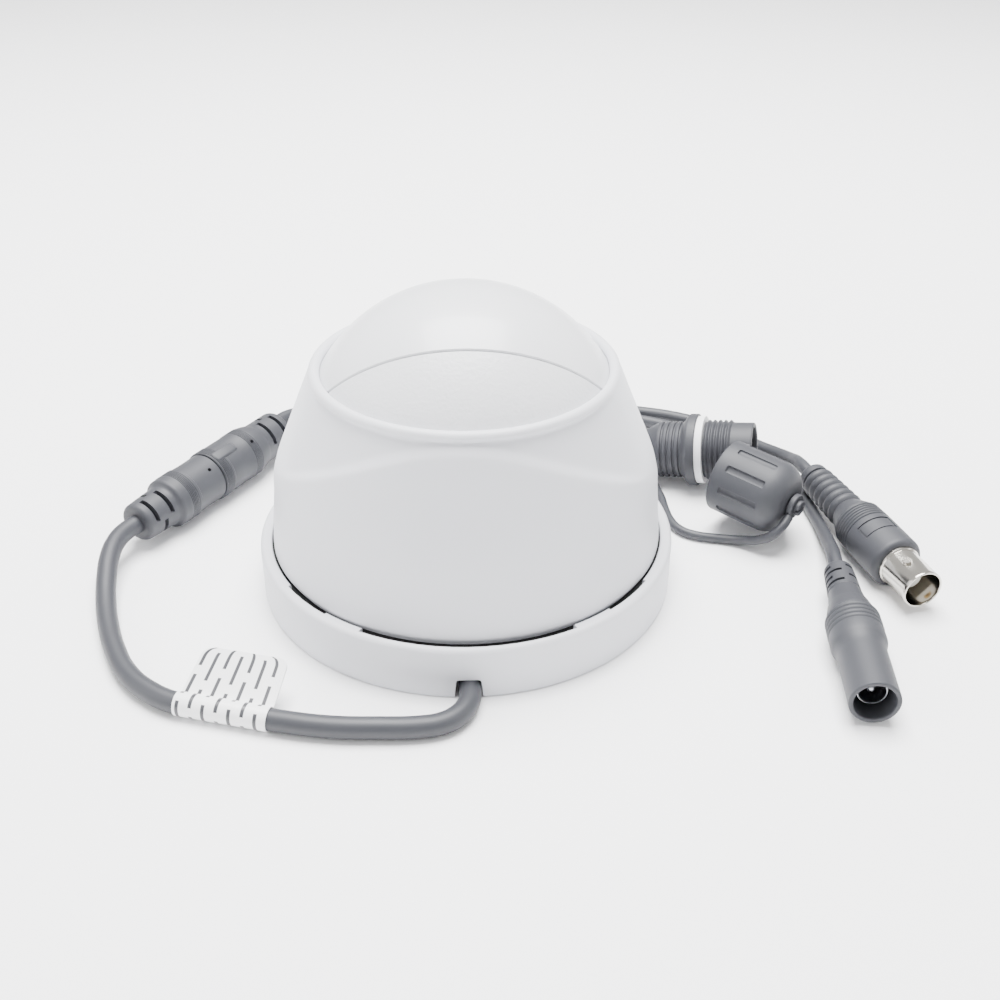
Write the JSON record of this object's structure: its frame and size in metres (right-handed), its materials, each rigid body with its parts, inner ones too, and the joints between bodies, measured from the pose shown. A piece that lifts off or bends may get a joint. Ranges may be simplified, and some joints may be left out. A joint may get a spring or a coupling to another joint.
{
  "type": "dome camera",
  "caption": "Turret dome surveillance camera: a ball head with a lens window held in a faceted enclosure on a round ceiling base, with its cable, inline joint, plugs and capped coupler.",
  "frame": {"origin": "centre of the mounting face of the base", "axes": "+Z away from the mounting face, +Y the way the lens looks, the cable leaves towards -Y"},
  "size_m": [0.1935, 0.1428, 0.0705],
  "materials": {
    "housing_white": "moulded, satin",
    "ball_white": "smooth moulded, soft gloss",
    "ball_textured": "fine orange-peel texture",
    "black_plastic": "moulded",
    "black_rubber": "moulded",
    "window_smoke": "polished",
    "lens_glass": "coated",
    "black_anodised": "anodised black",
    "circuit_board": "solder mask",
    "led_epoxy": "cast epoxy",
    "sensor_ceramic": "ceramic",
    "chip_black": "moulded",
    "screw_steel": "plated",
    "spacer_brass": "turned",
    "jacket_grey": "extruded PVC",
    "overmould_grey": "moulded",
    "label_white": "coated film",
    "nickel": "nickel plated",
    "insulator_white": "turned PTFE",
    "seal_white": "silicone",
    "gold_contact": "gold plated"
  },
  "bodies": {
    "base": {"mounting_base": "housing_white", "pan_ring": "black_plastic", "pan_ring_screws": "screw_steel", "cable_clamp": "black_plastic", "clamp_screws": "screw_steel", "main_cable": "jacket_grey", "sticker_label": "label_white", "plug_housing": "overmould_grey", "socket_housing": "overmould_grey", "joint_seal": "black_rubber", "video_lead": "jacket_grey", "power_lead": "jacket_grey", "spare_lead": "jacket_grey", "video_boot": "overmould_grey", "video_barrel": "nickel", "video_insulator": "insulator_white", "video_contact": "gold_contact", "power_boot": "overmould_grey", "power_ring": "screw_steel", "power_core": "black_plastic", "power_pin": "screw_steel", "coupler_body": "overmould_grey", "coupler_seal": "seal_white", "coupler_insert": "black_plastic", "coupler_pins": "gold_contact", "screw_cap": "overmould_grey", "cap_liner": "black_rubber", "cap_tether": "jacket_grey", "tether_rings": "overmould_grey", "tether_screw": "overmould_grey"},
    "turret": {"enclosure": "housing_white", "ball_seat": "black_plastic", "friction_pads": "black_rubber", "seat_screws": "screw_steel"},
    "ball": {"front_shell": "ball_white", "rear_shell": "ball_textured", "shell_gasket": "black_rubber", "shell_screws": "screw_steel", "window": "window_smoke", "window_gasket": "black_rubber", "cable_grommet": "black_rubber", "carrier_retainer": "black_plastic"},
    "lens_module": {"module_carrier": "black_plastic", "led_board": "circuit_board", "infrared_leds": "led_epoxy", "photocell": "sensor_ceramic", "light_baffle": "black_plastic", "lens_holder": "black_plastic", "lens_barrel": "black_anodised", "front_lens": "lens_glass", "rear_lens": "lens_glass", "lens_lock_ring": "black_anodised", "cut_filter": "lens_glass", "image_sensor": "chip_black", "sensor_board": "circuit_board", "board_spacers": "spacer_brass", "main_board": "circuit_board", "processor": "chip_black", "board_screws": "screw_steel"}
  },
  "joints": [
    {"name": "pan", "type": "hinge", "parent": "base", "child": "turret", "pos_m": [0, 0, 0], "axis": [0, 0, 1], "range_deg": [-180, 180]},
    {"name": "tilt", "type": "hinge", "parent": "turret", "child": "ball", "pos_m": [0, 0, 0.03355], "axis": [1, 0, 0], "range_deg": [-12, 63]},
    {"name": "rotate", "type": "hinge", "parent": "ball", "child": "lens_module", "pos_m": [0, 0, 0.03355], "axis": [0, 0.891, 0.454], "range_deg": [-180, 180]}
  ]
}
